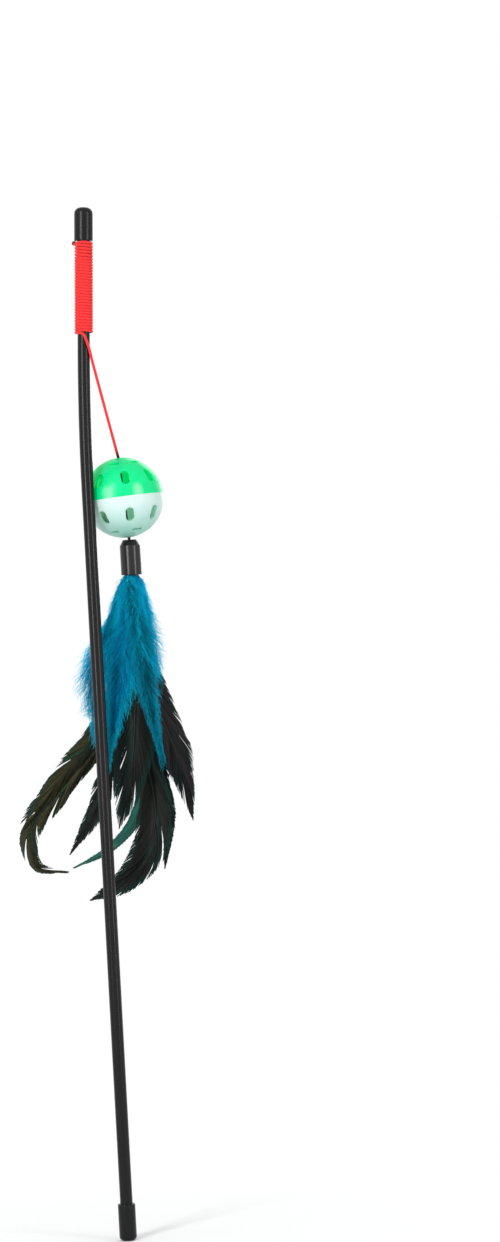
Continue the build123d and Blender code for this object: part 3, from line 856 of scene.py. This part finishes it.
# Each feather: the solid that it stands for, its material, the width of its vane in millimetres, how far
# down its shaft the vane sits, and the points that its shaft passes in millimetres, to the side of the
# sleeve's axis and below the sleeve's mouth
curl_of_3 = [(0.5, 40), (3, 95), (5, 122), (-1, 142), (-12, 153), (-30, 162)]
curl_of_7 = [(-8, 48), (-22, 85), (-42, 107), (-60, 132), (-57, 147), (-41, 151)]
feathers = [
    ("blue_plume_1", teal_down, 13.0, 0.6, [(2.5, 28), (5, 55), (10, 90)]),
    ("blue_plume_2", blue_down, 19.0, 0.6, [(-4, 30), (-10, 60), (-17, 93)]),
    ("dark_feather_1", green_vane, 20.0, 1.7, [(-0.5, 30), (-1.5, 62), (-5, 95), (-13, 126)]),
    ("blue_plume_3", blue_down, 16.0, 1.8, [(-11, 24), (-19, 46), (-21, 78)]),
    ("dark_feather_2", black_vane, 16.0, 1.5, [(1, 30), (8, 62), (18, 92), (24, 124)]),
    ("dark_feather_3", green_vane, 18.0, 2.2, curl_of_3),
    ("dark_feather_4", green_vane, 11.0, 2.0, [(-5, 50), (-15, 92), (-25, 118), (-39, 139)]),
    ("blue_plume_4", blue_down, 18.0, 0.6, [(3, 28), (5, 52), (8, 80)]),
    ("dark_feather_5", black_vane, 9.0, 2.0, [(3, 50), (8, 100), (11, 128), (8, 150)]),
    ("dark_feather_6", olive_vane, 13.0, 1.7, [(-7, 45), (-22, 80), (-43, 103), (-64, 129)]),
    ("dark_feather_7", olive_vane, 12.0, 2.0, curl_of_7),
    ("dark_feather_8", teal_vane, 6.0, 2.2, [(1, 50), (0, 100), (-7, 128), (-20, 141), (-39, 150)]),
    ("blue_plume_5", blue_down, 24.0, 0.6, [(-3, 26), (-6, 50), (-9, 76)]),
    ("dark_feather_9", black_vane, 15.0, 1.5, [(4, 45), (11, 80), (16, 112)]),
]


def smooth_line(stops, count):
    """A smooth line through the stops: cubic pieces with the slope that the neighbouring chords give each
    stop."""
    run = np.concatenate([[0], np.cumsum(np.linalg.norm(np.diff(stops, axis=0), axis=1))])
    slope = np.gradient(stops, run, axis=0)
    at = np.linspace(0, run[-1], count)
    piece = np.clip(np.searchsorted(run, at, side="right") - 1, 0, len(stops) - 2)
    span = (run[piece + 1] - run[piece])[:, None]
    t = (at - run[piece])[:, None] / span
    return (
        (2 * t**3 - 3 * t**2 + 1) * stops[piece]
        + (t**3 - 2 * t**2 + t) * span * slope[piece]
        + (3 * t**2 - 2 * t**3) * stops[piece + 1]
        + (t**3 - t**2) * span * slope[piece + 1]
    )


def barb_piece(name, lines, facing, width, tone, clump, skin):
    """Barbs as closed three-sided slivers. lines holds a row of points for each barb; each point gets a
    flat base of the given width across the barb and a low ridge, both tapering to the barb's tip."""
    count, steps = lines.shape[:2]
    share = np.linspace(0, 1, steps)
    taper = (1 - barb_taper * share**3)[None, :, None]
    across = unit(np.cross(facing, np.gradient(lines, axis=1))) * taper * width / 2
    ridge = facing * taper * barb_ridge
    points = np.stack([lines - across, lines + across, lines - ridge], 2).reshape(-1, 3)
    barb, step, side = np.meshgrid(np.arange(count), np.arange(steps - 1), np.arange(3), indexing="ij")
    base = (barb * steps + step) * 3
    after = (side + 1) % 3
    quads = np.stack([base + side, base + after, base + 3 + after, base + 3 + side], -1).reshape(-1, 4)
    root = np.arange(count)[:, None] * steps * 3
    ends = np.concatenate([root + [2, 1, 0], root + (steps - 1) * 3 + [0, 1, 2]])
    made = mesh_piece(name, points, quads.tolist() + ends.tolist(), skin)
    for label, values in (
        ("tone", np.repeat(tone, steps * 3)),
        ("clump", np.repeat(clump, steps * 3)),
        ("reach", np.tile(np.repeat(share, 3), count)),
    ):
        held = made.data.attributes.new(label, "FLOAT", "POINT")
        held.data.foreach_set("value", values.astype(np.float32))
    return made


def beside_shaft(shaft, at, out):
    """Points at a share of the shaft's length, shifted sideways by out. Past its tip the shaft goes on
    straight."""
    share = np.linspace(0, 1, len(shaft))
    inside = np.clip(at, 0, 1)
    beyond = (at - inside) * line_length(shaft)
    course = (*shaft.T, *unit(np.gradient(shaft, axis=0)).T)
    x, y, run_x, run_y = (np.interp(inside, share, values) for values in course)
    return x + beyond * run_x - out * run_y, y + beyond * run_y + out * run_x


def down_barbs(shaft, width, seat, rows):
    """Loose barbs in small clumps. Each starts on the shaft or just across it, spreads to half the width
    that the sine of the share of the length gives, droops along the shaft, waves, and lifts out of the
    feather's plane. Gives side, drop and lift for each point, and each barb's tone, the chance of its
    clump and its twist."""
    start = np.tile(0.92 * np.linspace(0, 1, rows) ** 1.7, 2)
    side = np.repeat([1, -1], rows)[:, None]
    clump = np.arange(2 * rows) // down_clump
    shared = chance.uniform(-1, 1, (clump[-1] + 1, 3))[clump]
    own = chance.uniform(-1, 1, (2 * rows, 5))
    v = np.linspace(0, 1, 8)
    slant = 0.8 * width / line_length(shaft) * (1 + 0.8 * start)
    slant = slant * (1 + 0.35 * shared[:, 0] + 0.5 * own[:, 0])
    tip = np.minimum(start + slant, 0.97 + 0.13 * own[:, 3])
    full = width / 2 * np.sin(math.pi * np.minimum(tip, 0.95) ** seat) * np.minimum(0.55 + 1.5 * start, 1)
    spread = full * (1 + 0.15 * shared[:, 1] + (0.25 + 0.4 * start) * own[:, 1])
    bend = 0.95 - 0.25 * np.exp(-start / 0.06)
    wave = down_wave * v * np.sin(2 * math.pi * (1.5 * v + own[:, 2:3]))
    across = root_spread * np.maximum(own[:, 4:], 0) * (1 - v)
    at_mouth = root_spread * (1 + own[:, 4:]) * np.exp(-start[:, None] / 0.04)
    out = side * (spread[:, None] * v ** bend[:, None] - across + at_mouth) + wave
    lift = down_lift * own[:, 3:4] * v**1.5 - 0.4 * across
    tone = 0.9 + 0.6 * shared[:, 1] + 0.3 * own[:, 1] - 1.1 * start
    aside, drop = beside_shaft(shaft, start[:, None] + (tip - start)[:, None] * v, out)
    return aside, drop, lift, tone, shared[:, 2], np.zeros(2 * rows)


def vane_barbs(shaft, width, seat, rows, looseness, turn):
    """Barbs that cling together in clumps: each clump has its own slant and length, so that the vane
    splits between clumps, more so towards the tip and in a looser vane. The vane is cupped, and twists
    about the shaft to and fro by a sine that starts at the turn. Gives the same as down_barbs."""
    start = np.tile(np.linspace(0.06, 0.99, rows), 2)
    side = np.repeat([1, -1], rows)[:, None]
    clump = np.arange(2 * rows) // vane_clump
    shared = chance.uniform(-1, 1, (clump[-1] + 1, 3))[clump]
    own = chance.uniform(-1, 1, (2 * rows, 2))
    v = np.linspace(0, 1, 6)
    split = looseness * (0.05 + 0.2 * start**3)
    slant = 1.5 * width / line_length(shaft) * (1 + split * shared[:, 0] + 0.1 * own[:, 0])
    tip = np.minimum(start + slant, 1)
    full = (shaft_width * (1 - tip) + width * np.sin(math.pi * tip**seat)) / 2
    spread = full * (0.97 + 0.1 * shared[:, 1])
    wave = vane_wave * v * np.sin(2 * math.pi * (1.5 * v + own[:, 1:]))
    out = side * spread[:, None] * v**0.9 + wave
    twist = vane_twist * np.sin(2 * math.pi * (turn + 0.6 * start))
    cup = v**1.5 * (0.5 * shared[:, 2:] + 1) * vane_cup * width
    lift = cup + out * np.tan(twist)[:, None]
    tone = 0.5 + 0.45 * shared[:, 1] + 0.25 * own[:, 1]
    aside, drop = beside_shaft(shaft, start[:, None] + (tip - start)[:, None] * v, out)
    return aside, drop, lift, tone, shared[:, 2], twist


barb_ridge = 0.12 * mm
barb_taper = 0.7
down_barb_width = 0.18 * mm
down_rows = 1200
down_clump = 6
down_wave = 1.3 * mm
down_lift = 3.5 * mm
down_stem_points = 240
root_spread = 1.2 * mm
tuft_rows = 160
tuft_length = 30 * mm
tuft_width = 12 * mm
tuft_seat = 0.6
vane_rows = 300
vane_clump = 14
vane_wave = 0.15 * mm
vane_cup = 0.16
vane_twist = math.radians(30)
twist_step = 0.38
barb_overlap = 1.7
olive_looseness = 2.2
chance = np.random.default_rng(7)
for order, (node, skin, vane_width, seat, stops) in enumerate(feathers):
    downy = skin in (blue_down, teal_down)
    lean = front_lean + order * lean_step
    drop_axis = np.array([0, math.sin(lean), -math.cos(lean)])
    facing = np.array([0, math.cos(lean), math.sin(lean)])
    column = (order % quill_columns - (quill_columns - 1) / 2) * quill_column_step
    row = (order - (len(feathers) - 1) / 2) * quill_row_step
    root = sleeve_mouth + axis_y * row
    shaft = smooth_line(np.array([(column / mm, 0), *stops]) * mm, shaft_points)

    # Shaft: a horny stem that thins from the quill in the glue to the feather's tip; in down it is finer
    # and shorter
    stem = root + shaft[:, :1] * axis_x + shaft[:, 1:] * drop_axis
    quill = stem[:1] + axis_z * np.array([[quill_depth], [quill_depth / 2]])
    thinning = np.linspace(1, 0.15, shaft_points) * (0.5 if downy else 1)
    stem_radius = shaft_width / 2 * np.concatenate([[1.2, 1.2], thinning])
    stem_part = slice(0, down_stem_points if downy else None, 2)
    shaft_piece = tube_piece(
        node + "_shaft",
        np.concatenate([quill, stem])[stem_part],
        stem_radius[stem_part],
        stem_sides,
        facing,
        blue_quill if downy else horn,
    )
    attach(shaft_piece, "tassel")

    # Barbs: a plume is down all along, and a dark feather is a closed vane with a tuft of dyed down at
    # its foot
    if downy:
        coats = [("_barbs", skin, down_barb_width, down_barbs(shaft, vane_width * mm, seat, down_rows))]
    else:
        vane_barb_width = barb_overlap * line_length(shaft) / vane_rows
        looseness = olive_looseness if skin is olive_vane else 1
        vane = vane_barbs(shaft, vane_width * mm, seat, vane_rows, looseness, order * twist_step)
        tuft = down_barbs(shaft[shaft[:, 1] < tuft_length], tuft_width, tuft_seat, tuft_rows)
        coats = [("_barbs", skin, vane_barb_width, vane), ("_tuft", blue_down, down_barb_width, tuft)]
    for suffix, coat_skin, barb_width, (aside, drop, lift, tone, clump, twist) in coats:
        lines = root + aside[..., None] * axis_x + drop[..., None] * drop_axis + lift[..., None] * facing
        tilt = twist[:, None, None]
        barb_facing = facing * np.cos(tilt) + axis_x * np.sin(tilt)
        tone = np.clip(tone, 0, 1)
        clump = 0.5 + 0.5 * clump
        barbs = barb_piece(node + suffix, lines, barb_facing, barb_width, tone, clump, coat_skin)
        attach(barbs, "tassel")
        if suffix == "_barbs":
            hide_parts(node)
